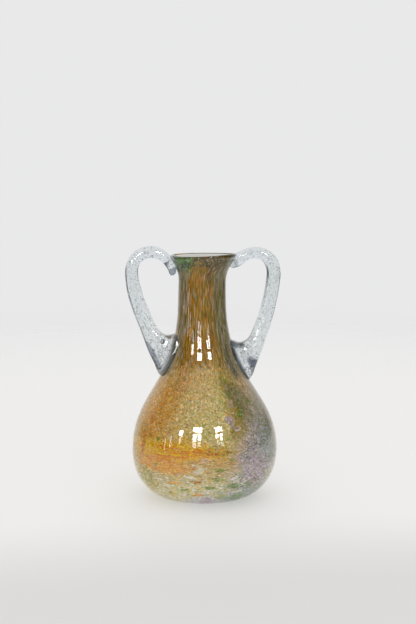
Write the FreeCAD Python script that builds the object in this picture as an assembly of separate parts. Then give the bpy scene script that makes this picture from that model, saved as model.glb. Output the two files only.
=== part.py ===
"""Hand blown art glass vase with two applied handles, modelled as the glassblower builds it.

Units are millimetres. +Z is up, the origin is the centre of the foot, and the handles lie along X.
The body is three gathers of glass, one over the other, each a shell of its own:
  white_lining   opaque white glass, the inside of the vase
  colour_layer   the thin bed of coloured chips and powder rolled onto the white
  clear_casing   the clear outer gather, thick at the foot, closed over the lip as a bead
The handles are two bits of clear seeded glass, left_handle and right_handle. Each is dropped on the
shoulder, where it spreads into a round pad, then drawn up into a strap and stuck to the lip.
Every layer and handle meets its neighbour face to face, because the glass is fused there.
"""

import FreeCAD
import Part

import math
import os

from FreeCAD import Vector

# Driving dimensions of the body
HEIGHT = 200.0  # foot to the top of the lip
FOOT_RADIUS = 33.0  # outer edge of the ground flat that the vase stands on
PONTIL_RADIUS = 14.0  # polished hollow where the pontil rod was broken off
PONTIL_DEPTH = 1.2
BELLY_RADIUS = 60.3
BELLY_HEIGHT = 39.0
NECK_RADIUS = 19.6
NECK_HEIGHT = 172.0
LIP_RADIUS = 27.6
LIP_LEAN = math.radians(24.0)  # how far the flared lip leans out from upright

# Thickness of the three layers of glass
CASING_WALL = 1.9
CASING_FOOT_EXTRA = 3.6  # extra clear glass at the heel, which fades out up the wall
CASING_FOOT_FADE = 13.0
COLOUR_WALL = 0.6
LINING_WALL = 1.1
CASING_FLOOR = 6.0  # height of the clear glass under the coloured layer, on the axis
FLOOR_RISE = 1.2  # how much the floor of the vase has risen at FLOOR_RADIUS
FLOOR_RADIUS = 32.0

# Outside of the wall between the foot and the lip: (radius, height) of the points that shape it
WALL_STATIONS = [
    (41.0, 2.2),
    (49.2, 8.2),
    (56.4, 19.0),
    (BELLY_RADIUS, BELLY_HEIGHT),
    (55.6, 64.5),
    (46.0, 83.0),
    (36.3, 99.0),
    (27.6, 117.0),
    (22.4, 135.0),
    (20.2, 152.0),
    (NECK_RADIUS, NECK_HEIGHT),
    (20.4, 184.5),
    (22.9, 190.5),
]
FIRST_INNER_STATION = 1  # the inner surfaces turn from floor to wall before they reach this station

# Handle sections, from the pad on the shoulder to the end at the lip. Each is
# (x, z) of the edge towards the neck, (x, z) of the far edge, and half the depth along Y.
# x is outwards from the axis. The first section lies inside the body, which it is trimmed to.
LEFT_SECTIONS = [
    (16.0, 133.0, 30.0, 97.5, 13.0),
    (21.0, 134.5, 36.8, 101.5, 11.4),
    (28.5, 133.4, 40.6, 109.5, 9.0),
    (34.0, 135.2, 45.6, 120.5, 8.0),
    (37.2, 138.3, 49.0, 130.0, 7.0),
    (40.6, 144.6, 53.0, 141.0, 6.3),
    (45.6, 155.8, 58.0, 153.8, 6.0),
    (50.0, 168.8, 62.0, 167.3, 5.8),
    (53.2, 182.0, 64.0, 182.0, 5.6),
    (53.0, 190.0, 62.8, 193.6, 5.4),
    (49.6, 194.9, 56.5, 202.2, 5.3),
    (42.9, 197.1, 43.0, 206.9, 5.2),
    (35.5, 194.8, 32.0, 203.4, 4.8),
    (31.2, 190.6, 25.6, 196.8, 4.4),
    (29.2, 187.4, 22.6, 190.8, 4.0),
    (28.2, 184.9, 22.2, 187.0, 3.4),
]
RIGHT_SECTIONS = [
    (16.5, 129.0, 32.0, 92.0, 13.0),
    (22.0, 129.5, 39.0, 97.5, 11.4),
    (29.0, 126.9, 42.0, 103.8, 9.2),
    (34.6, 127.9, 46.6, 115.5, 8.2),
    (37.4, 130.2, 50.4, 125.5, 7.1),
    (40.6, 136.0, 53.0, 133.6, 6.3),
    (44.1, 144.8, 56.3, 143.0, 6.0),
    (48.7, 160.3, 60.4, 158.8, 5.8),
    (51.6, 175.5, 63.3, 175.0, 5.7),
    (52.4, 185.0, 64.0, 185.6, 5.6),
    (49.6, 193.0, 60.4, 196.8, 5.5),
    (43.5, 196.0, 48.6, 205.1, 5.4),
    (37.2, 194.9, 36.6, 204.8, 5.3),
    (31.0, 190.6, 28.0, 201.0, 5.2),
    (27.0, 188.8, 22.5, 198.5, 5.2),
]
SECTION_POINTS = 12  # points on each section's outline

PARTS_FOLDER = "parts"


def at(radius, height):
    """A point of the profile, in the XZ plane."""
    return Vector(radius, 0, height)


def spline(points):
    """A smooth curve through the points."""
    curve = Part.BSplineCurve()
    curve.interpolate(Points=points)
    return curve


def lip_centre():
    """Centre of the bead that closes the lip."""
    bead = total_wall() / 2
    return at(LIP_RADIUS - bead, HEIGHT - bead)


def total_wall():
    return CASING_WALL + COLOUR_WALL + LINING_WALL


def lip_point(depth):
    """Where the surface that lies that deep under the outside meets the bead of the lip."""
    outward = at(math.cos(LIP_LEAN), -math.sin(LIP_LEAN))
    return lip_centre() + outward * (total_wall() / 2 - depth)


def lip_direction():
    return at(math.sin(LIP_LEAN), math.cos(LIP_LEAN))


def outer_curve():
    """Outside of the wall, from the edge of the foot to the lip."""
    points = [at(FOOT_RADIUS, 0)]
    points += [at(radius, height) for radius, height in WALL_STATIONS]
    points.append(lip_point(0))
    return spline(points)


def casing_thickness(height):
    return CASING_WALL + CASING_FOOT_EXTRA * math.exp(-height / CASING_FOOT_FADE)


def inner_curve(depth):
    """The surface that lies depth mm further in than the outside of the coloured layer.

    It starts on the axis, at the floor of the vase.
    """
    outside = outer_curve()
    points = []
    for radius in (0, FLOOR_RADIUS / 2, FLOOR_RADIUS):
        rise = FLOOR_RISE * (radius / FLOOR_RADIUS) ** 2
        points.append(at(radius, CASING_FLOOR + depth + rise))
    for radius, height in WALL_STATIONS[FIRST_INNER_STATION:]:
        station = at(radius, height)
        direction = outside.tangent(outside.parameter(station))[0]
        inward = at(-direction.z, direction.x)
        points.append(station + inward * (casing_thickness(height) + depth))
    points.append(lip_point(CASING_WALL + depth))
    return spline(points)


def revolve(edges):
    """The solid that a closed outline in the XZ plane sweeps round the Z axis."""
    face = Part.Face(Part.Wire(Part.__sortEdges__(edges)))
    solid = face.revolve(Vector(0, 0, 0), Vector(0, 0, 1), 360)
    return Part.Solid(solid.Shells[0]) if solid.ShapeType != "Solid" else solid


def line(start, end):
    return Part.LineSegment(start, end).toShape()


def layer(outer_depth, inner_depth):
    """The shell of glass between two inner surfaces."""
    outer = inner_curve(outer_depth)
    inner = inner_curve(inner_depth)
    return revolve(
        [
            outer.toShape(),
            line(outer.EndPoint, inner.EndPoint),
            inner.toShape(),
            line(inner.StartPoint, outer.StartPoint),
        ]
    )


def foot_edges():
    """The polished pontil hollow and the flat ring round it."""
    top = at(0, PONTIL_DEPTH)
    sagitta_radius = (PONTIL_RADIUS**2 + PONTIL_DEPTH**2) / (2 * PONTIL_DEPTH)
    half_angle = math.asin(PONTIL_RADIUS / sagitta_radius) / 2
    middle = at(
        sagitta_radius * math.sin(half_angle),
        PONTIL_DEPTH - sagitta_radius * (1 - math.cos(half_angle)),
    )
    edge = at(PONTIL_RADIUS, 0)
    return [Part.Arc(top, middle, edge).toShape(), line(edge, at(FOOT_RADIUS, 0))]


def bead_edge():
    """The half round of the lip, from the outside to the inside of the wall."""
    crown = lip_centre() + lip_direction() * (total_wall() / 2)
    return Part.Arc(lip_point(0), crown, lip_point(total_wall())).toShape()


def clear_casing():
    """The outer gather, with its thick foot and the bead that covers the ends of the other layers."""
    inner = inner_curve(0)
    edges = foot_edges()
    edges += [
        outer_curve().toShape(),
        bead_edge(),
        line(lip_point(total_wall()), inner.EndPoint),
        inner.toShape(),
        line(inner.StartPoint, at(0, PONTIL_DEPTH)),
    ]
    return revolve(edges)


def filled_body():
    """The whole vase with no hollow, which the handles are trimmed to."""
    crown = lip_centre() + lip_direction() * (total_wall() / 2)
    edges = foot_edges()
    edges += [
        outer_curve().toShape(),
        Part.Arc(lip_point(0), lip_point_on_bead(math.pi / 4), crown).toShape(),
        line(crown, at(0, crown.z)),
        line(at(0, crown.z), at(0, PONTIL_DEPTH)),
    ]
    return revolve(edges)


def lip_point_on_bead(angle):
    """A point on the bead, that angle round from the outside of the wall."""
    bead = total_wall() / 2
    outward = at(math.cos(LIP_LEAN), -math.sin(LIP_LEAN))
    return (
        lip_centre()
        + outward * (bead * math.cos(angle))
        + lip_direction() * (bead * math.sin(angle))
    )


def section_outline(near, far, half_depth):
    """A closed oval curve that reaches from near to far in the XZ plane, and half_depth each way along Y."""
    centre = (near + far) * 0.5
    across = (far - near) * 0.5
    points = []
    for step in range(SECTION_POINTS):
        angle = 2 * math.pi * step / SECTION_POINTS
        sideways = Vector(0, half_depth * math.sin(angle), 0)
        points.append(centre + across * math.cos(angle) + sideways)
    outline = Part.BSplineCurve()
    outline.interpolate(
        Points=points,
        Parameters=list(range(SECTION_POINTS + 1)),
        PeriodicFlag=True,
    )
    return outline


def strap_surface(outlines):
    """A smooth surface through a row of closed outlines."""
    rails = []
    for column in range(1, outlines[0].NbPoles + 1):
        rail = Part.BSplineCurve()
        rail.interpolate(
            Points=[outline.getPole(column) for outline in outlines],
            Parameters=list(range(len(outlines))),
        )
        rails.append(rail)
    rows = zip(*[rail.getPoles() for rail in rails])
    surface = Part.BSplineSurface()
    surface.buildFromPolesMultsKnots(
        [list(row) for row in rows],
        rails[0].getMultiplicities(),
        outlines[0].getMultiplicities(),
        rails[0].getKnots(),
        outlines[0].getKnots(),
        False,
        True,
        rails[0].Degree,
        outlines[0].Degree,
    )
    return surface


def handle(sections, side):
    """A strap drawn through its sections and trimmed to the vase. side is -1 for left and 1 for right."""
    outlines = []
    for near_x, near_z, far_x, far_z, half_depth in sections:
        near = Vector(side * near_x, 0, near_z)
        far = Vector(side * far_x, 0, far_z)
        outlines.append(section_outline(near, far, half_depth))
    faces = [strap_surface(outlines).toShape()]
    for end in (outlines[0], outlines[-1]):
        faces.append(Part.Face(Part.Wire(end.toShape())))
    shell = Part.makeShell(faces)
    shell.sewShape()
    strap = Part.Solid(shell)
    if strap.Volume < 0:
        strap.reverse()
    trimmed = strap.cut(filled_body())
    return max(trimmed.Solids, key=lambda solid: solid.Volume)


def main():
    colour_inside = COLOUR_WALL
    lining_inside = COLOUR_WALL + LINING_WALL
    nodes = {
        "white_lining": layer(colour_inside, lining_inside),
        "colour_layer": layer(0, colour_inside),
        "clear_casing": clear_casing(),
        "left_handle": handle(LEFT_SECTIONS, -1),
        "right_handle": handle(RIGHT_SECTIONS, 1),
    }
    os.makedirs(PARTS_FOLDER, exist_ok=True)
    for name, shape in nodes.items():
        shape.exportStep(os.path.join(PARTS_FOLDER, name + ".step"))
        box = shape.BoundBox
        print(
            f"{name}: valid {shape.isValid()}, solids {len(shape.Solids)},"
            f" {shape.Volume / 1000:.1f} cm3,"
            f" x {box.XMin:.1f} to {box.XMax:.1f}, z {box.ZMin:.1f} to {box.ZMax:.1f}"
        )


main()
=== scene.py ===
"""Looks for the hand blown vase: fine meshes, glass materials, floor, light and camera.

Lengths are written in millimetres and turned into metres with MM. The frame is the CAD model's: +Z up,
origin at the centre of the foot, handles along X. Azimuth is counted from the -Y side, positive towards +X.
"""

import math
import random

import bmesh
import bpy
import numpy as np
from mathutils import Matrix, Vector, noise


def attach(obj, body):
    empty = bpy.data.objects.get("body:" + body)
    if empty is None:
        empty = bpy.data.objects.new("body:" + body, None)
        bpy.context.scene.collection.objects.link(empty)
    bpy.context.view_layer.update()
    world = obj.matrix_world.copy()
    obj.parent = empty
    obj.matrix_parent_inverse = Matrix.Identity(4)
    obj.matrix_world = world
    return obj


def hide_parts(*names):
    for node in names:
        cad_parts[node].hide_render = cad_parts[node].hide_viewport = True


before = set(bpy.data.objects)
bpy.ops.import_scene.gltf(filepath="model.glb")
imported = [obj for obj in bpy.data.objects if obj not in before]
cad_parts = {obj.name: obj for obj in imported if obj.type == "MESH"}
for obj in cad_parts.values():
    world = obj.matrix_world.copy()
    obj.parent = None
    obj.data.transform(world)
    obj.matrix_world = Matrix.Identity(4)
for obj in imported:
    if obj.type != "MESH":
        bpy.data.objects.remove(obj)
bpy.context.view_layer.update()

MM = 0.001
BODY = "root"

# Body of the vase, as in the CAD model
HEIGHT = 200.0
FOOT_RADIUS = 33.0
PONTIL_RADIUS = 14.0
PONTIL_DEPTH = 1.2
LIP_RADIUS = 27.6
LIP_LEAN = math.radians(24.0)
CASING_WALL = 1.9
CASING_FOOT_EXTRA = 3.6
CASING_FOOT_FADE = 13.0
COLOUR_WALL = 0.6
LINING_WALL = 1.1
TOTAL_WALL = CASING_WALL + COLOUR_WALL + LINING_WALL
CASING_FLOOR = 6.0
FLOOR_RISE = 1.2
FLOOR_RADIUS = 32.0
WALL_STATIONS = [
    (41.0, 2.2),
    (49.2, 8.2),
    (56.4, 19.0),
    (60.3, 39.0),
    (55.6, 64.5),
    (46.0, 83.0),
    (36.3, 99.0),
    (27.6, 117.0),
    (22.4, 135.0),
    (20.2, 152.0),
    (19.6, 172.0),
    (20.4, 184.5),
    (22.9, 190.5),
]
FIRST_INNER_STATION = 1
LAYER_OVERLAP = 0.1  # how far the clear glass reaches into the coloured layer, so that no air gap shows
LIP_COLOUR = 0.7  # how far the coloured layer runs up into the clear lip

ROUND_STEPS = 224  # points round the body
WALL_STEPS = 180  # points up a wall
BEAD_STEPS = 14  # points round the half circle of the lip
PONTIL_STEPS = 10
LINING_GAP = 0.02  # between the coloured layer and the white lining, so that the two faces don't fight

# Handles: (x, z) of the edge towards the neck, (x, z) of the far edge, half the depth along Y
LEFT_SECTIONS = [
    (16.0, 133.0, 30.0, 97.5, 13.0),
    (21.0, 134.5, 36.8, 101.5, 11.4),
    (28.5, 133.4, 40.6, 109.5, 9.0),
    (34.0, 135.2, 45.6, 120.5, 8.0),
    (37.2, 138.3, 49.0, 130.0, 7.0),
    (40.6, 144.6, 53.0, 141.0, 6.3),
    (45.6, 155.8, 58.0, 153.8, 6.0),
    (50.0, 168.8, 62.0, 167.3, 5.8),
    (53.2, 182.0, 64.0, 182.0, 5.6),
    (53.0, 190.0, 62.8, 193.6, 5.4),
    (49.6, 194.9, 56.5, 202.2, 5.3),
    (42.9, 197.1, 43.0, 206.9, 5.2),
    (35.5, 194.8, 32.0, 203.4, 4.8),
    (31.2, 190.6, 25.6, 196.8, 4.4),
    (29.2, 187.4, 22.6, 190.8, 4.0),
    (28.2, 184.9, 22.2, 187.0, 3.4),
]
RIGHT_SECTIONS = [
    (16.5, 129.0, 32.0, 92.0, 13.0),
    (22.0, 129.5, 39.0, 97.5, 11.4),
    (29.0, 126.9, 42.0, 103.8, 9.2),
    (34.6, 127.9, 46.6, 115.5, 8.2),
    (37.4, 130.2, 50.4, 125.5, 7.1),
    (40.6, 136.0, 53.0, 133.6, 6.3),
    (44.1, 144.8, 56.3, 143.0, 6.0),
    (48.7, 160.3, 60.4, 158.8, 5.8),
    (51.6, 175.5, 63.3, 175.0, 5.7),
    (52.4, 185.0, 64.0, 185.6, 5.6),
    (49.6, 193.0, 60.4, 196.8, 5.5),
    (43.5, 196.0, 48.6, 205.1, 5.4),
    (37.2, 194.9, 36.6, 204.8, 5.3),
    (31.0, 190.6, 28.0, 201.0, 5.2),
    (27.0, 188.8, 22.5, 198.5, 5.2),
]
STRAP_RINGS = 240  # rings of points along a handle
STRAP_STEPS = 64  # points round each ring
CAP_STEPS = 9  # steps of the rounded cap at a handle's end
PAD_FLATNESS = 0.5  # 0 gives an oval pad, towards 1 a squarer one
PAD_BLEND = (0.1, 0.38)  # the shares of the handle's length between which the pad becomes the round strap
HANDLE_SINK = 0.3  # how far a handle's foot reaches into the clear glass that it is fused to
# Unevenness left by the tools, slow and quick: the width of its waves and their height
SLOW_MARKS = (9.0, 0.14)
QUICK_MARKS = (3.5, 0.02)
MARK_OFFSET = 31.7  # sets the two handles' marks apart
# Where the handle glass is darkened towards slate blue: painted shade along a pad's seam, where refraction
# shows dark, fading out between two distances, and in ovals, mostly painted shade in the hollows by the pads,
# given as x, z, half width, half height, tilt in degrees, strength
SEAM_SHADE_REACH = (0.7, 1.6)
SEAM_SHADE_TOP = 150.0  # the seam's painted shade ends below this height
TINT_FADE = (0.75, 1.1)  # the shares of an oval's size between which its tint and painted shade fade out
LEFT_TINTS_AND_SHADE = [
    (42.3, 117.5, 3.3, 15.0, -27, 1.0),
    (30.5, 191.5, 1.6, 3.8, 30, 0.9),
    (25.0, 186.0, 2.8, 3.2, 0, 0.75),
]
RIGHT_TINTS_AND_SHADE = [
    (28.0, 126.0, 6.8, 3.0, -14, 1.0),
    (40.6, 107.0, 3.4, 7.4, 8, 1.0),
    (39.2, 111.6, 5.0, 2.2, -6, 1.0),
    (26.0, 193.0, 2.0, 3.4, 20, 0.5),
]
BUBBLES = 1500  # bubbles in each handle
BUBBLE_RADIUS = (0.08, 0.31)
BUBBLE_STRETCH = (1.0, 2.2)  # how many times longer than wide a bubble is drawn
BUBBLE_REACH = 0.86  # how far out from the middle of the strap bubbles lie, as a share
BUBBLE_CLEARANCE = 1.2  # between a bubble's centre and the body
BUBBLE_ROWS = 400  # places along the handle that bubbles are dealt to
# Larger bubbles: x, y, z, radius
LEFT_LARGE_BUBBLES = [
    (34.0, -3.0, 128.5, 2.0),
    (45.6, 0.0, 146.8, 0.6),
    (46.8, -1.0, 148.6, 0.45),
    (36.5, -2.0, 121.0, 0.5),
]
RIGHT_LARGE_BUBBLES = [
    (36.0, 2.0, 121.5, 0.8),
    (41.0, -1.0, 128.0, 0.6),
    (33.5, -2.0, 104.5, 0.7),
]

# View
VIEW_AZIMUTH = math.radians(-5.5)
CAMERA_DISTANCE = 900.0
CAMERA_SIDE = 3.8
CAMERA_HEIGHT = 258.0
CAMERA_TILT = math.radians(6.7)
CAMERA_LENS = 63.46


# ---------------------------------------------------------------- curves


def smooth_line(points, count):
    """Points along a natural cubic spline through the given points, evenly spaced by chord length."""
    points = np.asarray(points, float)
    gaps = np.linalg.norm(np.diff(points, axis=0), axis=1)
    knots = np.concatenate([[0.0], np.cumsum(gaps)])
    system = np.eye(len(points))
    target = np.zeros_like(points)
    for i in range(1, len(points) - 1):
        system[i, i - 1 : i + 2] = gaps[i - 1], 2 * (gaps[i - 1] + gaps[i]), gaps[i]
        after = (points[i + 1] - points[i]) / gaps[i]
        before = (points[i] - points[i - 1]) / gaps[i - 1]
        target[i] = 6 * (after - before)
    bends = np.linalg.solve(system, target)
    where = np.linspace(0, knots[-1], count)
    span = np.clip(np.searchsorted(knots, where, side="right") - 1, 0, len(gaps) - 1)
    width = gaps[span][:, None]
    share = (where - knots[span])[:, None] / width
    rest = 1 - share
    curved = (rest**3 - rest) * bends[span] + (share**3 - share) * bends[span + 1]
    return rest * points[span] + share * points[span + 1] + curved * width**2 / 6


def lip_frame():
    """Centre of the lip's bead, the way out through the wall there, and the way up along the wall."""
    out = np.array([math.cos(LIP_LEAN), -math.sin(LIP_LEAN)])
    up = np.array([math.sin(LIP_LEAN), math.cos(LIP_LEAN)])
    centre = np.array([LIP_RADIUS - TOTAL_WALL / 2, HEIGHT - TOTAL_WALL / 2])
    return centre, out, up


def lip_point(depth, above=0.0):
    centre, out, up = lip_frame()
    return centre + out * (TOTAL_WALL / 2 - depth) + up * above


def outer_line():
    """Outside of the wall, from the foot to the lip, as rows of (radius, height)."""
    return smooth_line([(FOOT_RADIUS, 0.0), *WALL_STATIONS, lip_point(0)], WALL_STEPS)


def inner_line(depth, above=0.0):
    """The surface that lies depth mm inside the coloured layer's outside, from the axis to the lip."""
    outside = outer_line()
    slopes = np.gradient(outside, axis=0)
    points = []
    for radius in (0.0, FLOOR_RADIUS / 2, FLOOR_RADIUS):
        rise = FLOOR_RISE * (radius / FLOOR_RADIUS) ** 2
        points.append((radius, CASING_FLOOR + depth + rise))
    for station in WALL_STATIONS[FIRST_INNER_STATION:]:
        nearest = np.argmin(np.linalg.norm(outside - station, axis=1))
        along = slopes[nearest] / np.linalg.norm(slopes[nearest])
        thickness = CASING_WALL + CASING_FOOT_EXTRA * math.exp(-station[1] / CASING_FOOT_FADE)
        inward = np.array([-along[1], along[0]])
        points.append(np.asarray(station) + inward * (thickness + depth))
    points.append(lip_point(CASING_WALL + depth, above))
    return smooth_line(points, WALL_STEPS)


def pontil_line():
    """The polished hollow under the foot, from the axis to its edge."""
    radius = np.linspace(0, PONTIL_RADIUS, PONTIL_STEPS)
    return np.column_stack([radius, PONTIL_DEPTH * (1 - (radius / PONTIL_RADIUS) ** 2)])


def bead_line():
    """The half round of the lip, from the outside of the wall to the inside."""
    centre, out, up = lip_frame()
    turn = np.linspace(0, math.pi, BEAD_STEPS)[1:-1, None]
    return centre + (out * np.cos(turn) + up * np.sin(turn)) * TOTAL_WALL / 2


# ---------------------------------------------------------------- hand made irregularity

# How far the vase's axis has wandered from straight: height, shift along X
AXIS_WANDER = [(0, 0.2), (40, 1.0), (80, 0.6), (115, -0.4), (160, -1.1), (185, -0.6), (200, 0.3)]
RIM_WAVE = 1.2  # the lip dips on one side of the front and rises on the other
OUT_OF_ROUND = 0.004  # how far the body is from true round, as a share of its radius
WANDER_STEPS = 200


def ease(value, low, high):
    share = np.clip((value - low) / (high - low), 0, 1)
    return share * share * (3 - 2 * share)


def hand_made(points):
    """Moves points of the body, in mm, the small way that a hand made vase is off true."""
    x, y, z = points.T
    radius = np.hypot(x, y)
    azimuth = np.arctan2(x, -y)
    swell = 1 + OUT_OF_ROUND * np.cos(2 * azimuth + 0.7) * ease(z, 5, 60)
    swell += OUT_OF_ROUND * 0.6 * np.cos(3 * azimuth - 1.1) * ease(z, 20, 90)
    wander = smooth_line(AXIS_WANDER, WANDER_STEPS)
    shift = np.interp(z, wander[:, 0], wander[:, 1])
    turned = azimuth - VIEW_AZIMUTH
    dip = RIM_WAVE * np.sin(turned) * (1 + np.cos(turned)) / 2 * ease(z, 178, 200) * ease(radius, 8, 18)
    return np.column_stack([x * swell + shift, y * swell, z + dip])


# ---------------------------------------------------------------- meshes

FLOW_RADIUS = 50.0  # the radius that the glass had when the chips were rolled onto it
ON_AXIS = 1e-6  # a profile point nearer to the axis than this lies on it


def add_mesh(name, points, faces, attribute=None):
    """A smooth shaded mesh object from points in mm."""
    mesh = bpy.data.meshes.new(name)
    mesh.from_pydata((np.asarray(points) * MM).tolist(), [], faces)
    mesh.validate()
    mesh.shade_smooth()
    if attribute is not None:
        label, values = attribute
        layer = mesh.attributes.new(label, "FLOAT_VECTOR", "POINT")
        layer.data.foreach_set("vector", (np.asarray(values) * MM).ravel())
    made = bpy.data.objects.new(name, mesh)
    bpy.context.scene.collection.objects.link(made)
    return made


def lathe(name, profile, flow=None):
    """Revolves a closed profile, whose two ends are on the axis or joined to each other."""
    profile = np.asarray(profile)
    on_axis = profile[:, 0] < ON_AXIS
    ring_of = {}
    points = []
    flows = []
    turns = np.linspace(0, 2 * math.pi, ROUND_STEPS, endpoint=False)
    for row, (radius, height) in enumerate(profile):
        ring_of[row] = len(points)
        steps = turns[:1] if on_axis[row] else turns
        for turn in steps:
            points.append((radius * math.sin(turn), -radius * math.cos(turn), height))
            if flow is not None:
                length, turned = flow[row]
                before = turn - turned
                flows.append((FLOW_RADIUS * math.sin(before), -FLOW_RADIUS * math.cos(before), length))
    faces = []
    rows = list(range(len(profile)))
    pairs = list(zip(rows, rows[1:]))
    if not on_axis[0]:
        pairs.append((rows[-1], rows[0]))
    for low, high in pairs:
        a, b = ring_of[low], ring_of[high]
        for step in range(ROUND_STEPS):
            other = (step + 1) % ROUND_STEPS
            if on_axis[low]:
                faces.append((a, b + other, b + step))
            elif on_axis[high]:
                faces.append((a + step, a + other, b))
            else:
                faces.append((a + step, a + other, b + other, b + step))
    moved = hand_made(np.array(points))
    return add_mesh(name, moved, faces, ("flow", flows) if flow is not None else None)


def body_skin(depth):
    """The filled outline of the body, depth mm inside its outer surface, for trimming the handles."""
    outside = outer_line()
    slopes = np.gradient(outside, axis=0)
    slopes /= np.linalg.norm(slopes, axis=1)[:, None]
    inward = np.column_stack([-slopes[:, 1], slopes[:, 0]])
    skin = outside + inward * depth
    centre, out, up = lip_frame()
    turn = np.linspace(0, math.pi, BEAD_STEPS)[1:, None]
    bead = centre + (out * np.cos(turn) + up * np.sin(turn)) * (TOTAL_WALL / 2 - depth)
    return np.vstack([[(0, skin[0, 1])], skin, bead, [(0, bead[-1, 1])]])


# ---------------------------------------------------------------- body

# How many times longer up the wall the glass is now than on the gather, and the heights each changes over
NECK_PULL = 4.2
NECK_STARTS = (94, 132)
NECK_ENDS = (182, 192)
FOOT_PULL = 0.4
FOOT_ENDS = (38, 60)
LIP_PULL = 0.5
LIP_STARTS = (186, 196)
RIM_TWIST = math.radians(12)  # how far the rim was turned while it was worked
RIM_TWIST_HEIGHTS = (182, 199)
PATCH_MARGIN = 20.0  # how far a patch may reach past the lip
MIN_PATCH_HALF = 0.5


def twist(heights):
    """How far the glass was turned about its axis while it was worked, as angles."""
    return RIM_TWIST * ease(heights, *RIM_TWIST_HEIGHTS)


def drawn_length(profile):
    """How far up the undrawn gather each row of the profile was, in mm.

    Chips keep their shape on the belly and are drawn into streaks up the neck.
    """
    steps = np.linalg.norm(np.diff(profile, axis=0), axis=1)
    heights = (profile[1:, 1] + profile[:-1, 1]) / 2
    pull = 1 + (NECK_PULL - 1) * ease(heights, *NECK_STARTS) * (1 - ease(heights, *NECK_ENDS))
    pull -= (1 - LIP_PULL) * ease(heights, *LIP_STARTS)
    pull -= (1 - FOOT_PULL) * (1 - ease(heights, *FOOT_ENDS))
    return np.concatenate([[0.0], np.cumsum(steps / pull)])


def patch_on_gather(azimuth, height, half_width, half_height):
    """Centre and half sizes of a patch on the undrawn gather, in mm. Angles are in degrees."""
    profile = inner_line(0.0, above=LIP_COLOUR)
    heights = np.append(profile[:, 1], profile[-1, 1] + 2 * PATCH_MARGIN)
    lengths = drawn_length(profile)
    lengths = np.append(lengths, lengths[-1] + 2 * PATCH_MARGIN)
    low, high = np.interp([height - half_height, height + half_height], heights, lengths)
    turn = math.radians(azimuth) + VIEW_AZIMUTH - twist(height)
    reach = FLOW_RADIUS * math.radians(half_width)
    centre = (FLOW_RADIUS * math.sin(turn), -FLOW_RADIUS * math.cos(turn), (low + high) / 2)
    return centre, (reach, reach, max((high - low) / 2, MIN_PATCH_HALF))


def make_casing():
    inner = inner_line(LAYER_OVERLAP)
    profile = np.vstack([pontil_line(), outer_line(), bead_line(), [lip_point(TOTAL_WALL)], inner[::-1]])
    return lathe("casing_glass", profile)


def make_colour():
    outer = inner_line(0.0, above=LIP_COLOUR)
    inner = inner_line(COLOUR_WALL, above=LIP_COLOUR)
    flow = np.column_stack([drawn_length(outer), twist(outer[:, 1])])
    return lathe("frit_layer", np.vstack([outer, inner[::-1]]), np.vstack([flow, flow[::-1]]))


def make_lining():
    outer = inner_line(COLOUR_WALL + LINING_GAP, above=LAYER_OVERLAP)
    inner = inner_line(COLOUR_WALL + LINING_WALL)
    return lathe("opal_lining", np.vstack([outer, inner[::-1]]))


# ---------------------------------------------------------------- handles


def strap_rings(sections, side):
    """Rings of points from the pad to the far end of a handle, with a rounded cap at that end."""
    rows = smooth_line(sections, STRAP_RINGS)
    turns = np.linspace(0, 2 * math.pi, STRAP_STEPS, endpoint=False)
    cosines, sines = np.cos(turns)[:, None], np.sin(turns)[:, None]
    rings = []
    for number, (near_x, near_z, far_x, far_z, half_depth) in enumerate(rows):
        centre = np.array([(near_x + far_x) / 2, 0.0, (near_z + far_z) / 2])
        across = np.array([(far_x - near_x) / 2, 0.0, (far_z - near_z) / 2])
        sideways = np.array([0.0, half_depth, 0.0])
        power = 1 - PAD_FLATNESS * (1 - ease(number / STRAP_RINGS, *PAD_BLEND))
        flat_cosines = np.sign(cosines) * np.abs(cosines) ** power
        flat_sines = np.sign(sines) * np.abs(sines) ** power
        rings.append(centre + across * flat_cosines + sideways * flat_sines)
    last = rings[-1]
    centre = last.mean(axis=0)
    forward = centre - rings[-2].mean(axis=0)
    forward /= np.linalg.norm(forward)
    reach = np.linalg.norm(last - centre, axis=1).min()
    for angle in np.linspace(0, math.pi / 2, CAP_STEPS)[1:-1]:
        rings.append(centre + (last - centre) * math.cos(angle) + forward * reach * math.sin(angle))
    rings = np.array(rings)
    tip = centre + forward * reach
    mirror = np.array([side, 1.0, 1.0])
    return rings * mirror, tip * mirror


def tool_marks(points, seed):
    """Small soft unevenness that the tools leave, in mm, for each point."""
    offset = Vector((seed * MARK_OFFSET, 0, 0))
    slow_width, slow_height = SLOW_MARKS
    quick_width, quick_height = QUICK_MARKS
    slow = [noise.noise(Vector(p) / slow_width + offset) for p in points]
    quick = [noise.noise(Vector(p) / quick_width + offset) for p in points]
    return slow_height * np.array(slow) + quick_height * np.array(quick)


def make_strap(name, sections, side, seed):
    rings, tip = strap_rings(sections, side)
    count, steps = rings.shape[:2]
    centres = rings.mean(axis=1, keepdims=True)
    outward = rings - centres
    outward /= np.linalg.norm(outward, axis=2, keepdims=True)
    marks = tool_marks(rings.reshape(-1, 3), seed).reshape(count, steps, 1)
    points = (rings + outward * marks).reshape(-1, 3).tolist()
    start = len(points)
    points += [centres[0, 0].tolist(), tip.tolist()]
    faces = []
    for ring in range(count - 1):
        for step in range(steps):
            other = (step + 1) % steps
            low, high = ring * steps, (ring + 1) * steps
            faces.append((low + step, high + step, high + other, low + other))
    for step in range(steps):
        other = (step + 1) % steps
        faces.append((start, step, other))
        faces.append((start + 1, (count - 1) * steps + other, (count - 1) * steps + step))
    if side < 0:
        faces = [face[::-1] for face in faces]
    return add_mesh(name, points, faces)


def face_outward(piece):
    """Turns every face of a closed mesh to point outwards."""
    cage = bmesh.new()
    cage.from_mesh(piece.data)
    bmesh.ops.recalc_face_normals(cage, faces=cage.faces)
    if cage.calc_volume(signed=True) < 0:
        bmesh.ops.reverse_faces(cage, faces=cage.faces)
    cage.to_mesh(piece.data)
    cage.free()


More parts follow.
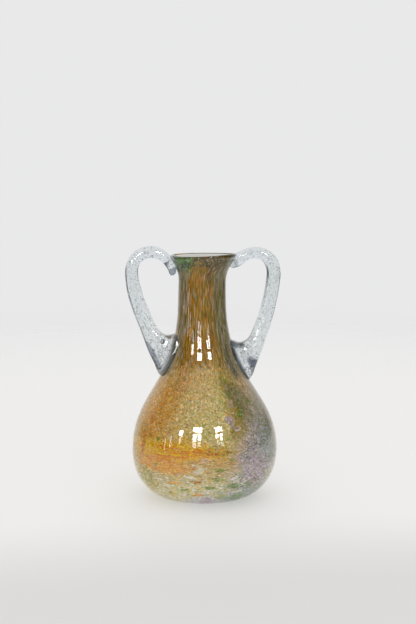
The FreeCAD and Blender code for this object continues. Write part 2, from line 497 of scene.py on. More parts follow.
def trim(piece, cutter):
    """Cuts the cutter's volume out of the piece."""
    cut = piece.modifiers.new("trim", "BOOLEAN")
    cut.operation = "DIFFERENCE"
    cut.solver = "EXACT"
    cut.object = cutter
    depsgraph = bpy.context.evaluated_depsgraph_get()
    piece.data = bpy.data.meshes.new_from_object(piece.evaluated_get(depsgraph))
    piece.modifiers.clear()


def largest_part(piece):
    """Keeps only the connected part with the most points."""
    cage = bmesh.new()
    cage.from_mesh(piece.data)
    unseen = set(cage.verts)
    parts = []
    while unseen:
        todo = [unseen.pop()]
        part = []
        while todo:
            vert = todo.pop()
            part.append(vert)
            for edge in vert.link_edges:
                other = edge.other_vert(vert)
                if other in unseen:
                    unseen.remove(other)
                    todo.append(other)
        parts.append(part)
    parts.sort(key=len)
    spare = [vert for part in parts[:-1] for vert in part]
    bmesh.ops.delete(cage, geom=spare, context="VERTS")
    cage.to_mesh(piece.data)
    cage.free()


def add_bubbles(piece, sections, side, seed, large):
    """Adds small hollows to a handle, most of them drawn out a little along the strap."""
    picks = random.Random(seed)
    rows = smooth_line(sections, BUBBLE_ROWS)
    lengths = np.linalg.norm(np.diff(rows[:, :4], axis=0), axis=1)
    sizes = rows[:-1, 4] * np.hypot(rows[:-1, 2] - rows[:-1, 0], rows[:-1, 3] - rows[:-1, 1])
    weights = lengths * sizes
    skin = outer_line()
    hollows = [(np.array(spot), np.eye(3) * radius) for *spot, radius in large]
    while len(hollows) < BUBBLES:
        index = picks.choices(range(len(weights)), weights)[0]
        near_x, near_z, far_x, far_z, half_depth = rows[index]
        middle = np.array([(near_x + far_x) / 2, 0.0, (near_z + far_z) / 2])
        across = np.array([(far_x - near_x) / 2, 0.0, (far_z - near_z) / 2])
        ahead = rows[index + 1] - rows[index]
        along = np.array([ahead[0] + ahead[2], 0.0, ahead[1] + ahead[3]])
        along /= np.linalg.norm(along)
        reach = BUBBLE_REACH * math.sqrt(picks.random())
        turn = picks.uniform(0, 2 * math.pi)
        spot = middle + across * reach * math.cos(turn)
        spot[1] += half_depth * reach * math.sin(turn)
        radius = picks.uniform(*BUBBLE_RADIUS)
        stretch = picks.uniform(*BUBBLE_STRETCH)
        wall = np.interp(spot[2], skin[:, 1], skin[:, 0])
        if math.hypot(spot[0], spot[1]) < wall + BUBBLE_CLEARANCE:
            continue
        aside = np.cross(along, (0.0, 1.0, 0.0))
        hollows.append((spot, np.array([along * stretch, (0.0, 1.0, 0.0), aside]) * radius))

    ball = bmesh.new()
    bmesh.ops.create_icosphere(ball, subdivisions=2, radius=1.0)
    ball_points = np.array([vert.co[:] for vert in ball.verts])
    ball_faces = [[vert.index for vert in face.verts][:: -side] for face in ball.faces]
    ball.free()
    points = [vert.co[:] for vert in piece.data.vertices]
    faces = [list(face.vertices) for face in piece.data.polygons]
    for spot, axes in hollows:
        base = len(points)
        points += ((ball_points @ axes + spot) * np.array([side, 1.0, 1.0]) * MM).tolist()
        faces += [[base + i for i in face] for face in ball_faces]
    mesh = bpy.data.meshes.new(piece.name)
    mesh.from_pydata(points, [], faces)
    mesh.validate()
    mesh.shade_smooth()
    piece.data = mesh


def mark_tint_and_shade(piece, tints_and_shade):
    """Stores how far the glass is darkened at each point, from 0 to 1: painted shade along the pads' seams
    and in the ovals.
    """
    skin = outer_line()
    points = np.array([vert.co[:] for vert in piece.data.vertices]) / MM
    away = np.hypot(points[:, 0], points[:, 1]) - np.interp(points[:, 2], skin[:, 1], skin[:, 0])
    depth = np.where(points[:, 2] < SEAM_SHADE_TOP, 1 - ease(away, *SEAM_SHADE_REACH), 0.0)
    for x, z, half_width, half_height, tilt, strength in tints_and_shade:
        right, up = np.abs(points[:, 0]) - x, points[:, 2] - z
        cosine, sine = math.cos(math.radians(tilt)), math.sin(math.radians(tilt))
        across = (right * cosine + up * sine) / half_width
        along = (up * cosine - right * sine) / half_height
        depth = np.maximum(depth, strength * (1 - ease(np.hypot(across, along), *TINT_FADE)))
    # the tint attribute holds the painted shade as well as the deeper tint
    layer = piece.data.attributes.new("tint", "FLOAT", "POINT")
    layer.data.foreach_set("value", depth)


def make_handle(name, sections, side, seed, tints_and_shade, large):
    piece = make_strap(name, sections, side, seed)
    face_outward(piece)
    cutter = lathe("cutter", body_skin(HANDLE_SINK))
    face_outward(cutter)
    trim(piece, cutter)
    bpy.data.objects.remove(cutter)
    largest_part(piece)
    add_bubbles(piece, sections, side, seed, large)
    mark_tint_and_shade(piece, tints_and_shade)
    return piece


# ---------------------------------------------------------------- materials

GLASS_IOR = 1.5
CLEAR_GLASS = (0.975, 0.985, 0.98, 1.0)
PASSED_LIGHT = (0.96, 0.97, 0.97, 1.0)  # what is left of lamp light after one face of glass
HANDLE_GLASS = (0.80, 0.845, 0.87, 1.0)
HANDLE_DEEP_SHADE = (0.15, 0.18, 0.23, 1.0)  # the handle glass where it is darkened most by the painted shade
LINING_CLOUD = 60.0  # size of the lining's cloudiness, as a noise scale per metre


def node(tree, kind, inputs=None, **settings):
    """A new shader node. inputs gives sockets by name or number a value, or an output to link from."""
    made = tree.nodes.new("ShaderNode" + kind)
    for name, value in settings.items():
        setattr(made, name, value)
    for key, value in (inputs or {}).items():
        if isinstance(value, bpy.types.NodeSocket):
            tree.links.new(value, made.inputs[key])
        else:
            made.inputs[key].default_value = value
    return made


def maths(tree, operation, first, second=0.0):
    return node(tree, "Math", {0: first, 1: second}, operation=operation).outputs[0]


def new_material(name):
    material = bpy.data.materials.new(name)
    material.use_nodes = True
    tree = material.node_tree
    tree.nodes.clear()
    return material, tree


def colour(red, green, blue):
    """A colour given as it looks on a screen, 0 to 255."""
    linear = []
    for value in (red, green, blue):
        share = value / 255
        linear.append(share / 12.92 if share <= 0.04045 else ((share + 0.055) / 1.055) ** 2.4)
    return (*linear, 1.0)


def ramp(tree, value, stops, steps="LINEAR"):
    """A colour ramp over (place, colour) stops."""
    made = node(tree, "ValToRGB", {0: value})
    band = made.color_ramp
    band.interpolation = steps
    while len(band.elements) < len(stops):
        band.elements.new(0.5)
    for element, (place, shade) in zip(band.elements, stops):
        element.position = place
        element.color = shade
    return made.outputs[0]


def blend(tree, share, first, second, mode="MIX"):
    made = node(
        tree,
        "Mix",
        {0: share, 6: first, 7: second},
        data_type="RGBA",
        blend_type=mode,
    )
    return made.outputs[2]


def let_light_through(tree, glass):
    """Glass that the camera sees as glass, and that light from lamps passes straight through."""
    path = node(tree, "LightPath")
    clear = node(tree, "BsdfTransparent", {"Color": PASSED_LIGHT})
    inner = node(tree, "MixShader", {0: path.outputs["Is Diffuse Ray"], 1: glass, 2: clear.outputs[0]})
    outer = node(
        tree,
        "MixShader",
        {0: path.outputs["Is Shadow Ray"], 1: inner.outputs[0], 2: clear.outputs[0]},
    )
    return outer.outputs[0]


def casing_material():
    material, tree = new_material("clear_glass")
    glass = node(
        tree,
        "BsdfPrincipled",
        {
            "Base Color": CLEAR_GLASS,
            "Roughness": 0.0,
            "IOR": GLASS_IOR,
            "Transmission Weight": 1.0,
        },
    )
    node(tree, "OutputMaterial", {"Surface": let_light_through(tree, glass.outputs[0])})
    return material


def handle_material():
    material, tree = new_material("bubbly_blue_glass")
    depth = node(tree, "Attribute", attribute_name="tint").outputs["Fac"]
    # the tint attribute darkens the glass towards deep slate: painted shade at the pads' seams and hollows
    tint = blend(tree, depth, HANDLE_GLASS, HANDLE_DEEP_SHADE)
    glass = node(
        tree,
        "BsdfPrincipled",
        {
            "Base Color": tint,
            "Roughness": 0.02,
            "IOR": GLASS_IOR,
            "Transmission Weight": 1.0,
        },
    )
    node(tree, "OutputMaterial", {"Surface": let_light_through(tree, glass.outputs[0])})
    return material


def lining_material():
    material, tree = new_material("white_opal_glass")
    place = node(tree, "TexCoord").outputs["Object"]
    cloud = node(tree, "TexNoise", {"Vector": place, "Scale": LINING_CLOUD, "Detail": 4.0})
    shade = ramp(tree, cloud.outputs[0], [(0.35, colour(232, 229, 222)), (0.65, colour(240, 238, 233))])
    glass = node(
        tree,
        "BsdfPrincipled",
        {"Base Color": shade, "Roughness": 0.06, "IOR": GLASS_IOR},
    )
    node(tree, "OutputMaterial", {"Surface": glass.outputs[0]})
    return material


# The glasses that the chips and powder are made of, and one painted shade, as screen colours from 0 to 255
CREAM = (235, 228, 220)
IVORY = (214, 207, 190)
SAND = (205, 190, 135)
BUFF = (210, 176, 122)
PEACH = (212, 175, 140)
APRICOT = (235, 166, 80)
HONEY = (210, 154, 74)
TOFFEE = (185, 140, 88)
AMBER = (232, 176, 42)
OCHRE = (190, 156, 60)
ORANGE = (228, 128, 26)
RUST = (202, 126, 42)
BRONZE = (154, 117, 36)
STRAW = (178, 168, 95)
OLIVE = (150, 130, 54)
KHAKI = (128, 122, 88)
UMBER = (117, 104, 60)
DARK_OLIVE = (90, 75, 24)
DARK_GREEN = (65, 90, 38)
LEAF = (90, 136, 50)
MOSS = (126, 152, 74)
FERN = (124, 146, 98)
CELADON = (152, 167, 115)
SAGE = (146, 155, 147)
TAUPE = (140, 131, 114)
GREY_LILAC = (163, 158, 163)
MAUVE = (174, 157, 166)
LILAC = (188, 166, 196)
PALE_BLUE = (198, 204, 228)
# painted shade: the dark slate beside the right handle's pad
PAINTED_PAD_SHADE = (92, 84, 86)

# The base colour of the coloured layer and the patches that were picked up over it, and two patches of
# painted light (a painted shade and a painted reflection), in order: azimuth from the vase's front in
# degrees, height in mm, half width in degrees, half height in mm, softness, cover, colour
BASE_COLOUR = (204, 168, 108)
PATCHES = [
    (8, 72, 30, 24, 0.9, 0.8, SAND),
    (-50, 76, 22, 24, 0.9, 0.8, HONEY),
    (30, 92, 16, 16, 0.9, 0.7, STRAW),
    (52, 44, 30, 42, 0.7, 0.95, GREY_LILAC),
    (66, 58, 18, 22, 0.9, 0.8, SAGE),
    (96, 84, 34, 30, 0.9, 0.95, TAUPE),
    (170, 60, 50, 34, 0.8, 0.9, HONEY),
    (-120, 60, 44, 40, 0.8, 0.9, BUFF),
    (0, 12, 400, 17, 0.7, 0.9, IVORY),
    (50, 12, 40, 14, 0.8, 0.9, SAGE),
    (0, 7, 26, 5, 0.8, 0.7, PALE_BLUE),
    (-30, 48, 42, 8.0, 0.6, 0.95, AMBER),
    (-10, 46, 24, 4, 0.8, 0.9, AMBER),
    (12, 47, 14, 3, 0.8, 0.9, OCHRE),
    (-38, 36, 26, 7, 0.9, 0.9, APRICOT),
    (170, 47, 60, 7, 0.8, 0.9, AMBER),
    (120, 30, 40, 14, 0.8, 0.8, GREY_LILAC),
    # painted reflection: a pale spot low on the belly's front, where the lit table top shows
    (-5, 34, 3.6, 3.6, 0.8, 0.7, CREAM),
    (0, 165, 400, 52, 0.25, 1.0, BRONZE),
    (62, 150, 34, 50, 0.5, 0.9, KHAKI),
    (-66, 150, 26, 50, 0.5, 0.8, TAUPE),
    (-30, 105, 10, 16, 0.8, 0.7, TOFFEE),
    (-4, 92, 16, 14, 0.9, 0.5, BUFF),
    (-22, 66, 14, 9, 0.9, 0.5, BUFF),
    (31, 100, 9, 12, 0.8, 0.7, OLIVE),
    (34, 86, 8, 12, 0.8, 0.9, UMBER),
    (29, 70, 8, 14, 0.8, 0.85, OLIVE),
    (42, 84, 10, 16, 0.8, 0.7, KHAKI),
    (-160, 84, 12, 26, 0.8, 0.9, UMBER),
    (-60, 195, 60, 9, 0.5, 1.0, DARK_GREEN),
    (40, 195, 60, 8, 0.5, 1.0, DARK_OLIVE),
    (150, 195, 80, 8, 0.5, 1.0, DARK_GREEN),
    (-39, 57, 2.2, 1.8, 0.6, 0.85, LEAF),
    (32, 103, 2.0, 1.6, 0.6, 0.9, LEAF),
    (24, 71, 4.5, 4.0, 0.6, 0.9, MAUVE),
    (-46, 84, 3.5, 9, 0.8, 0.8, RUST),
    (-53, 68, 3.5, 9, 0.8, 0.8, RUST),
    (-58, 50, 3.5, 10, 0.8, 0.8, RUST),
    (-56, 22, 12, 10, 0.8, 0.7, STRAW),
    # painted shade on the body beside the right handle's pad, where its seam meets the belly
    (54, 114, 7, 14, 0.8, 0.7, PAINTED_PAD_SHADE),
    (46, 30, 13, 13, 0.8, 0.75, MAUVE),
    (-24, 44, 22, 1.1, 0.6, 0.8, ORANGE),
    (-16, 47.5, 18, 1.0, 0.6, 0.8, ORANGE),
    (-30, 51, 12, 0.9, 0.6, 0.8, ORANGE),
    (4, 45.5, 10, 0.9, 0.6, 0.8, RUST),
    (-36, 41, 12, 0.9, 0.6, 0.8, ORANGE),
    (8, 51, 3.4, 1.0, 0.6, 0.9, MOSS),
    (20, 58, 3.0, 1.6, 0.6, 0.8, MOSS),
    (-42, 34, 2.6, 1.3, 0.6, 0.7, MOSS),
    (-18, 17, 3.6, 1.5, 0.6, 0.8, MOSS),
    (-30, 12, 4.0, 2.0, 0.6, 0.9, STRAW),
    (12, 27, 7.0, 2.2, 0.6, 0.8, CELADON),
    (24, 20, 7.0, 2.4, 0.6, 0.8, FERN),
    (34, 31, 5.0, 2.4, 0.6, 0.7, MAUVE),
    (2, 8, 8.0, 2.0, 0.6, 0.85, LILAC),
    (18, 11, 6.0, 2.0, 0.6, 0.8, CELADON),
    (-6, 24, 4.0, 1.4, 0.6, 0.8, TOFFEE),
    (6, 19, 5.0, 1.4, 0.6, 0.8, MOSS),
    (14, 33, 5.0, 1.5, 0.6, 0.8, MOSS),
    (-12, 28, 4.0, 1.3, 0.6, 0.8, CREAM),
    (26, 26, 4.0, 1.3, 0.6, 0.8, CREAM),
    (-24, 22, 4.0, 1.3, 0.6, 0.8, APRICOT),
    (30, 15, 5.0, 1.3, 0.6, 0.8, CREAM),
    (40, 20, 5.0, 1.5, 0.6, 0.8, FERN),
    (-6, 13, 5.0, 1.3, 0.6, 0.8, HONEY),
    (22, 41, 4.0, 1.4, 0.6, 0.8, MOSS),
    (32, 38, 4.0, 1.6, 0.6, 0.7, MAUVE),
    (36, 10, 7.0, 2.4, 0.6, 0.8, FERN),
    (29, 66, 2.6, 2.4, 0.6, 0.7, MAUVE),
    (33, 76, 2.4, 2.6, 0.6, 0.8, LEAF),
    (30, 88, 2.0, 2.0, 0.6, 0.8, LEAF),
    (26, 80, 2.4, 3.4, 0.6, 0.8, MAUVE),
    (52, 82, 3.0, 3.0, 0.6, 0.7, LEAF),
    (1, 40.6, 3.2, 2.6, 0.3, 1.0, PEACH),
    (-46, 196.5, 9, 2.2, 0.6, 0.9, LEAF),
    (-26, 197.5, 8, 1.6, 0.6, 0.9, LEAF),
    (-10, 194.5, 8, 1.6, 0.6, 0.8, OLIVE),
    (12, 197, 9, 1.4, 0.6, 0.8, UMBER),
    (-34, 190, 7, 2.4, 0.6, 0.7, LEAF),
]
# The chips' own shades, which are laid over the patches: the share of the chips below which each begins
WARM_GRAIN = [
    (0.0, (0.86, 0.52, 0.16)),
    (0.12, (0.50, 0.49, 0.42)),
    (0.30, (0.30, 0.42, 0.14)),
    (0.46, (0.72, 0.66, 0.50)),
    (0.60, (0.25, 0.22, 0.14)),
    (0.72, (0.94, 0.88, 0.94)),
    (0.84, (0.46, 0.44, 0.36)),
]
COOL_GRAIN = [
    (0.0, (0.50, 0.54, 0.40)),
    (0.18, (0.30, 0.42, 0.22)),
    (0.34, (0.74, 0.66, 0.84)),
    (0.52, (0.24, 0.22, 0.22)),
    (0.66, (0.92, 0.92, 0.90)),
    (0.80, (0.56, 0.46, 0.50)),
    (0.92, (0.62, 0.46, 0.22)),
]
# Where the chips are of the cool kind, as in PATCHES but with no cover or colour
COOL_PATCHES = [
    (54, 44, 34, 44, 0.6),
    (62, 150, 30, 50, 0.6),
    (120, 30, 40, 16, 0.6),
]
# Chips of three sizes: width on the gather in mm, and a seed
POWDER = (0.75, 0.0)
COARSE = (1.4, 0.31)
BROAD = (1.7, 0.93)
COARSE_LIMIT = 0.66  # the belly's chips whose random number is above this are coarse
BROAD_LIMIT = 0.55  # the neck's chips whose random number is above this are broad
FOOT_BROAD = 0.75  # the share of the chips at the foot that are broad
WHITE_LIMIT = 0.88  # chips whose random number is above this show the white through them
WHITE_SHOWN = (0.8, 0.35)  # how much they do so at the foot and above it
GRAIN_STRENGTH = (1.0, 0.88)  # how strong the chips' own shades are at the foot and above it
THIN_CHIP = colour(226, 216, 200)
# Heights in metres between which those change
NECK_CHIPS = (0.095, 0.13)
FOOT_CHIPS = (0.05, 0.02)
GRAIN_CHANGE = (0.02, 0.042)
WHITE_CHANGE = (0.02, 0.05)
# Noise that bends the edges of patches and the rows of chips: scale per metre, reach in mm
ROW_WARP = (110.0, 3.0)
PATCH_WARP = (55.0, 15.0)
CHIP_WARP_SCALE = 600.0  # the same for a chip's own edge, divided by its size
CHIP_WARP_REACH = 0.55  # and as a share of its size


def between(tree, value, places, results=(0.0, 1.0)):
    """The first result up to the first place, the second past the second, and a straight change between."""
    sockets = {"Value": value, 1: places[0], 2: places[1], 3: results[0], 4: results[1]}
    return node(tree, "MapRange", sockets).outputs[0]


class Frit:
    """Builds the coloured layer's pattern of crushed glass, on the shape that the gather had."""

    def __init__(self, tree):
        self.tree = tree
        gather = node(tree, "Attribute", attribute_name="flow").outputs["Vector"]
        self.flow = self.warp(gather, *ROW_WARP)
        self.height = node(tree, "SeparateXYZ", {0: node(tree, "TexCoord").outputs["Object"]}).outputs[2]

    def vector(self, operation, first, second):
        key = "Scale" if operation == "SCALE" else 1
        made = node(self.tree, "VectorMath", {0: first, key: second}, operation=operation)
        return made.outputs[0]

    def warp(self, spot, scale, reach):
        """Moves a place by noise: scale in 1/m, reach in mm."""
        drift = node(self.tree, "TexNoise", {"Vector": spot, "Scale": scale, "Detail": 3.0})
        centred = self.vector("SUBTRACT", drift.outputs["Color"], (0.5, 0.5, 0.5))
        return self.vector("ADD", spot, self.vector("SCALE", centred, reach * MM))

    def chips(self, size, seed):
        """Chips size mm wide on the gather: a random colour and a place that are the same all over each."""
        spot = self.vector("ADD", self.flow, (seed, seed, seed))
        rough = self.warp(spot, CHIP_WARP_SCALE / size, size * CHIP_WARP_REACH)
        cells = node(self.tree, "TexVoronoi", {"Vector": rough, "Scale": 1 / (size * MM)})
        centre = self.vector("SUBTRACT", cells.outputs["Position"], (seed, seed, seed))
        return cells.outputs["Color"], centre

    def choose(self, share, first, second):
        """The first pair of (colour, place) where share is 0, and the second where it is 1."""
        shade = blend(self.tree, share, first[0], second[0])
        place = node(self.tree, "Mix", {0: share, 4: first[1], 5: second[1]}, data_type="VECTOR")
        return shade, place.outputs[1]

    def above(self, value, limit):
        return maths(self.tree, "GREATER_THAN", value, limit)

    def patch(self, spot, centre, reach, soft):
        """1 inside an oval patch with its centre and half sizes in mm on the gather, fading to 0 outside."""
        away = self.vector("SUBTRACT", spot, tuple(c * MM for c in centre))
        scaled = self.vector("MULTIPLY", away, tuple(1 / (r * MM) for r in reach))
        far = node(self.tree, "VectorMath", {0: scaled}, operation="LENGTH")
        fade = node(
            self.tree,
            "MapRange",
            {"Value": far.outputs["Value"], 1: 1 - soft / 2, 2: 1 + soft / 2, 3: 1.0, 4: 0.0},
            interpolation_type="SMOOTHSTEP",
        )
        return fade.outputs[0]


def frit_material():
    material, tree = new_material("crushed_glass_colour")
    frit = Frit(tree)
    powder = frit.chips(*POWDER)
    coarse = frit.chips(*COARSE)
    broad = frit.chips(*BROAD)
    coarse_random = node(tree, "SeparateColor", {0: coarse[0]})
    broad_random = node(tree, "SeparateColor", {0: broad[0]})
    belly = frit.choose(frit.above(coarse_random.outputs[2], COARSE_LIMIT), powder, coarse)
    neck = frit.choose(frit.above(broad_random.outputs[2], BROAD_LIMIT), coarse, broad)
    drawn = between(tree, frit.height, NECK_CHIPS)
    lot = node(tree, "SeparateColor", {0: powder[0]}).outputs[2]
    random_colour, spot = frit.choose(maths(tree, "GREATER_THAN", drawn, lot), belly, neck)
    low = between(tree, frit.height, FOOT_CHIPS)
    share_pressed = maths(tree, "MULTIPLY", low, FOOT_BROAD)
    pressed = maths(tree, "GREATER_THAN", share_pressed, broad_random.outputs[1])
    random_colour, spot = frit.choose(pressed, (random_colour, spot), broad)
    spot = frit.warp(spot, *PATCH_WARP)

    shade = colour(*BASE_COLOUR)
    for azimuth, height, half_width, half_height, soft, cover, tint in PATCHES:
        centre, reach = patch_on_gather(azimuth, height, half_width, half_height)
        share = maths(tree, "MULTIPLY", frit.patch(spot, centre, reach, soft), cover)
        shade = blend(tree, share, shade, colour(*tint))

    lots = node(tree, "SeparateColor", {0: random_colour})
    warm = ramp(tree, lots.outputs[0], [(place, (*tint, 1.0)) for place, tint in WARM_GRAIN], "CONSTANT")
    cool = ramp(tree, lots.outputs[0], [(place, (*tint, 1.0)) for place, tint in COOL_GRAIN], "CONSTANT")
    grain = warm
    for azimuth, height, half_width, half_height, soft in COOL_PATCHES:
        centre, reach = patch_on_gather(azimuth, height, half_width, half_height)
        grain = blend(tree, frit.patch(spot, centre, reach, soft), grain, cool)
    strength = between(tree, frit.height, GRAIN_CHANGE, GRAIN_STRENGTH)
    shade = blend(tree, strength, shade, grain, "OVERLAY")
    whiter = between(tree, frit.height, WHITE_CHANGE, WHITE_SHOWN)
    thin = maths(tree, "MULTIPLY", frit.above(lots.outputs[1], WHITE_LIMIT), whiter)
    shade = blend(tree, thin, shade, THIN_CHIP)
    glass = node(
        tree,
        "BsdfPrincipled",
        {"Base Color": shade, "Roughness": 0.6, "IOR": GLASS_IOR, "Specular IOR Level": 0.0},
    )
    node(tree, "OutputMaterial", {"Surface": glass.outputs[0]})
    return material


# ---------------------------------------------------------------- floor, light and camera

FLOOR_REACH = 6000.0
FLOOR_FADE = (350.0, 1500.0)  # the table top fades into the backdrop between these distances
FLOOR_SHADE = (-230.0, -60.0)  # the painted glow grows between these places along Y, leaving the floor darker in front
FLOOR_COLOUR = (0.55, 0.543, 0.533, 1.0)
FLOOR_GLOW_FRONT = (0.24, 0.237, 0.232, 1.0)
FLOOR_GLOW = (0.37, 0.368, 0.364, 1.0)  # the table top glows: painted light that softens the vase's shadow on it
BACKGROUND = colour(233, 233, 234)
BACKDROP = colour(236, 236, 237)
BACKDROP_HALF = 44.0  # half the width of the backdrop, in degrees, seen from the vase
BACKDROP_EDGE = 5.0
BACKDROP_TURN = -1.5
PANEL_EDGES = (72.0, 50.0)  # soft panels beside the backdrop, which only the reflections show
PANEL = (0.85, 0.85, 0.86, 1.0)
ROOM_SIDE = (0.06, 0.065, 0.08, 1.0)
ROOM_FRONT = (0.5, 0.5, 0.5, 1.0)
CEILING = (1.25, 1.25, 1.25, 1.0)
CEILING_SEEN = (0.72, 0.74, 0.76, 1.0)  # the ceiling as the glass shows it
BELOW = (0.8, 0.8, 0.79, 1.0)
ROOM_EDGES = (105.0, 150.0)  # the room in front of the vase begins between these angles from the backdrop
# Heights, as the sine of the elevation, between which each shows: the panels, the ceiling and the horizon
PANEL_RISE = (0.04, 0.25)
CEILING_RISE = (0.55, 0.8)
HORIZON_RISE = (-0.02, 0.02)

# Panes of the windows in front of the vase, which show as reflections: left and right side as azimuths from
# its front, bottom and top as elevations, all in degrees, and brightness
PANES = [
    (-19.0, -5.5, 27.4, 34.0, 1.0),
    (-19.0, -13.4, 15.5, 25.0, 1.0),
    (-10.6, -5.5, 17.0, 25.0, 1.0),
    (-19.0, -13.4, 6.0, 14.0, 0.3),
    (-11.0, -6.5, 8.0, 15.5, 0.22),
    (20.0, 31.5, 27.4, 33.0, 1.0),
    (19.0, 23.2, 19.0, 25.0, 0.9),
    (25.8, 30.2, 15.5, 25.0, 0.7),
    (20.0, 24.0, 10.0, 17.0, 0.2),
    (26.0, 30.5, 8.0, 14.0, 0.15),
    (-43.5, -37.5, 19.5, 27.0, 0.9),
    (-42.0, -38.5, 10.0, 18.0, 0.25),
    (-57.0, -55.0, 2.0, 16.0, 0.2),
    (-66.5, -64.5, -2.0, 12.0, 0.2),
]
WINDOW_DISTANCE = 2500.0
WINDOW_RADIANCE = 34.0
WINDOW_AIM = 60.0  # the height on the vase that elevations are counted from


def step_up(tree, value, low, high):
    """A smooth change from 0 at low to 1 at high. low may be the larger of the two."""
    made = node(tree, "MapRange", {"Value": value, 1: low, 2: high}, interpolation_type="SMOOTHSTEP")
    return made.outputs[0]


def make_floor():
    """A plain pale table top that fades into the backdrop far out, with a painted glow that softens the
    vase's shadow, weaker in front.
    """
    mesh = bpy.data.meshes.new("floor")
    reach = FLOOR_REACH * MM
    corners = [(-reach, -reach, 0), (reach, -reach, 0), (reach, reach, 0), (-reach, reach, 0)]
    mesh.from_pydata(corners, [], [(0, 1, 2, 3)])
    floor = bpy.data.objects.new("floor", mesh)
    bpy.context.scene.collection.objects.link(floor)
    material, tree = new_material("pale_table")
    spot = node(tree, "TexCoord").outputs["Object"]
    back = node(tree, "SeparateXYZ", {0: spot}).outputs[1]
    start, end = FLOOR_SHADE
    forward = step_up(tree, back, start * MM, end * MM)
    top = node(
        tree,
        "BsdfPrincipled",
        {
            "Base Color": FLOOR_COLOUR,
            "Roughness": 0.7,
            "Emission Color": blend(tree, forward, FLOOR_GLOW_FRONT, FLOOR_GLOW),
            "Emission Strength": 1.0,
        },
    )
    gone = node(tree, "BsdfTransparent")
    away = node(tree, "VectorMath", {0: spot}, operation="LENGTH")
    near, far = FLOOR_FADE
    fade = step_up(tree, away.outputs["Value"], near * MM, far * MM)
    both = node(tree, "MixShader", {0: fade, 1: top.outputs[0], 2: gone.outputs[0]})
    node(tree, "OutputMaterial", {"Surface": both.outputs[0]})
    mesh.materials.append(material)


def make_world():
    """A pale backdrop behind the vase, dim sides, and a soft room in front and overhead."""
    world = bpy.data.worlds.new("studio")
    bpy.context.scene.world = world
    world.use_nodes = True
    tree = world.node_tree
    tree.nodes.clear()
    way = node(tree, "TexCoord").outputs["Generated"]
    x, y, z = node(tree, "SeparateXYZ", {0: way}).outputs
    azimuth = maths(tree, "ARCTAN2", x, y)  # 0 straight behind the vase
    aside = maths(tree, "ABSOLUTE", maths(tree, "SUBTRACT", azimuth, math.radians(BACKDROP_TURN)))
    path = node(tree, "LightPath")
    half = math.radians(BACKDROP_HALF)
    edge = math.radians(BACKDROP_EDGE)
    beyond = step_up(tree, aside, half - edge, half + edge)
    front = step_up(tree, aside, *(math.radians(angle) for angle in ROOM_EDGES))
    room = blend(tree, front, ROOM_SIDE, ROOM_FRONT)
    wall = blend(tree, beyond, BACKDROP, room)
    panels = step_up(tree, aside, *(math.radians(angle) for angle in PANEL_EDGES))
    panels = maths(tree, "MULTIPLY", panels, step_up(tree, z, *PANEL_RISE))
    shown = maths(tree, "MULTIPLY", panels, path.outputs["Is Glossy Ray"])
    wall = blend(tree, shown, wall, PANEL)
    up = step_up(tree, z, *CEILING_RISE)
    ceiling = blend(tree, path.outputs["Is Diffuse Ray"], CEILING_SEEN, CEILING)
    above = blend(tree, up, wall, ceiling)
    risen = step_up(tree, z, *HORIZON_RISE)
    seen = blend(tree, risen, blend(tree, beyond, BELOW, room), above)
    plain = node(tree, "Background", {"Color": BACKGROUND, "Strength": 1.0})
    light = node(tree, "Background", {"Color": seen, "Strength": 1.0})
    both = node(
        tree,
        "MixShader",
        {0: path.outputs["Is Camera Ray"], 1: light.outputs[0], 2: plain.outputs[0]},
    )
    node(tree, "OutputWorld", {"Surface": both.outputs[0]})


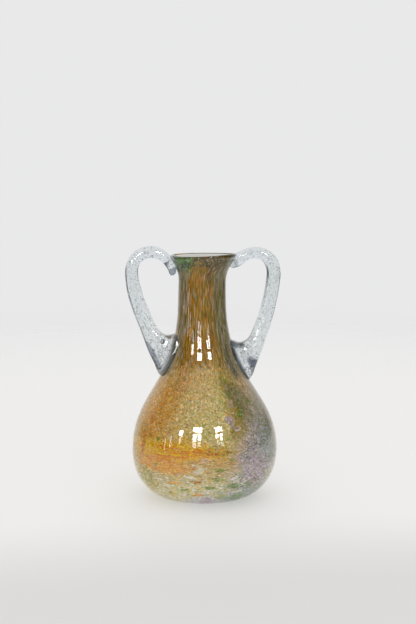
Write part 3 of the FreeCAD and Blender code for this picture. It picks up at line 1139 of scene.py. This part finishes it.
def make_windows():
    """Panes of light that show only as reflections in the glass."""
    reach = WINDOW_DISTANCE * MM
    for number, (left, right, bottom, top, brightness) in enumerate(PANES):
        azimuth = math.radians((left + right) / 2) + VIEW_AZIMUTH
        elevation = math.radians((bottom + top) / 2)
        lamp = bpy.data.lights.new(f"pane_{number}", "AREA")
        lamp.shape = "RECTANGLE"
        lamp.size = reach * math.radians(right - left)
        lamp.size_y = reach * math.radians(top - bottom)
        lamp.energy = WINDOW_RADIANCE * brightness * math.pi * lamp.size * lamp.size_y
        pane = bpy.data.objects.new(f"pane_{number}", lamp)
        bpy.context.scene.collection.objects.link(pane)
        way = Matrix.Rotation(azimuth, 3, "Z") @ Matrix.Rotation(-elevation, 3, "X") @ Vector((0, -1, 0))
        pane.location = way * reach + Vector((0, 0, WINDOW_AIM * MM))
        pane.rotation_euler = way.to_track_quat("Z", "Y").to_euler()
        pane.visible_camera = False
        pane.visible_diffuse = False
        pane.visible_transmission = False


def make_camera():
    lens = bpy.data.cameras.new("camera")
    lens.lens = CAMERA_LENS
    lens.clip_start = 0.01
    lens.clip_end = 50.0
    camera = bpy.data.objects.new("camera", lens)
    bpy.context.scene.collection.objects.link(camera)
    turn = Matrix.Rotation(VIEW_AZIMUTH, 4, "Z")
    spot = turn @ Vector((CAMERA_SIDE, -CAMERA_DISTANCE, CAMERA_HEIGHT)) * MM
    camera.matrix_world = (
        Matrix.Translation(spot) @ turn @ Matrix.Rotation(math.pi / 2 - CAMERA_TILT, 4, "X")
    )
    bpy.context.scene.camera = camera


def set_view():
    scene = bpy.context.scene
    scene.view_settings.view_transform = "Standard"
    scene.view_settings.look = "None"
    scene.cycles.transparent_max_bounces = 32
    scene.cycles.transmission_bounces = 24
    scene.cycles.max_bounces = 32
    scene.cycles.diffuse_bounces = 3
    scene.cycles.glossy_bounces = 6


# ---------------------------------------------------------------- put together


def place(piece, cad_node, slot, material):
    piece.data.materials.clear()
    piece.data.materials.append(material)
    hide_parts(cad_node)
    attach(piece, BODY)


def main():
    set_view()
    make_camera()
    make_world()
    make_windows()
    make_floor()
    place(make_casing(), "clear_casing", "clear_glass", casing_material())
    place(make_colour(), "colour_layer", "coloured_glass", frit_material())
    place(make_lining(), "white_lining", "white_glass", lining_material())
    blue = handle_material()
    left = make_handle("left_bubbly_handle", LEFT_SECTIONS, -1, 5, LEFT_TINTS_AND_SHADE, LEFT_LARGE_BUBBLES)
    right = make_handle("right_bubbly_handle", RIGHT_SECTIONS, 1, 8, RIGHT_TINTS_AND_SHADE, RIGHT_LARGE_BUBBLES)
    place(left, "left_handle", "handle_glass", blue)
    place(right, "right_handle", "handle_glass", blue)


main()
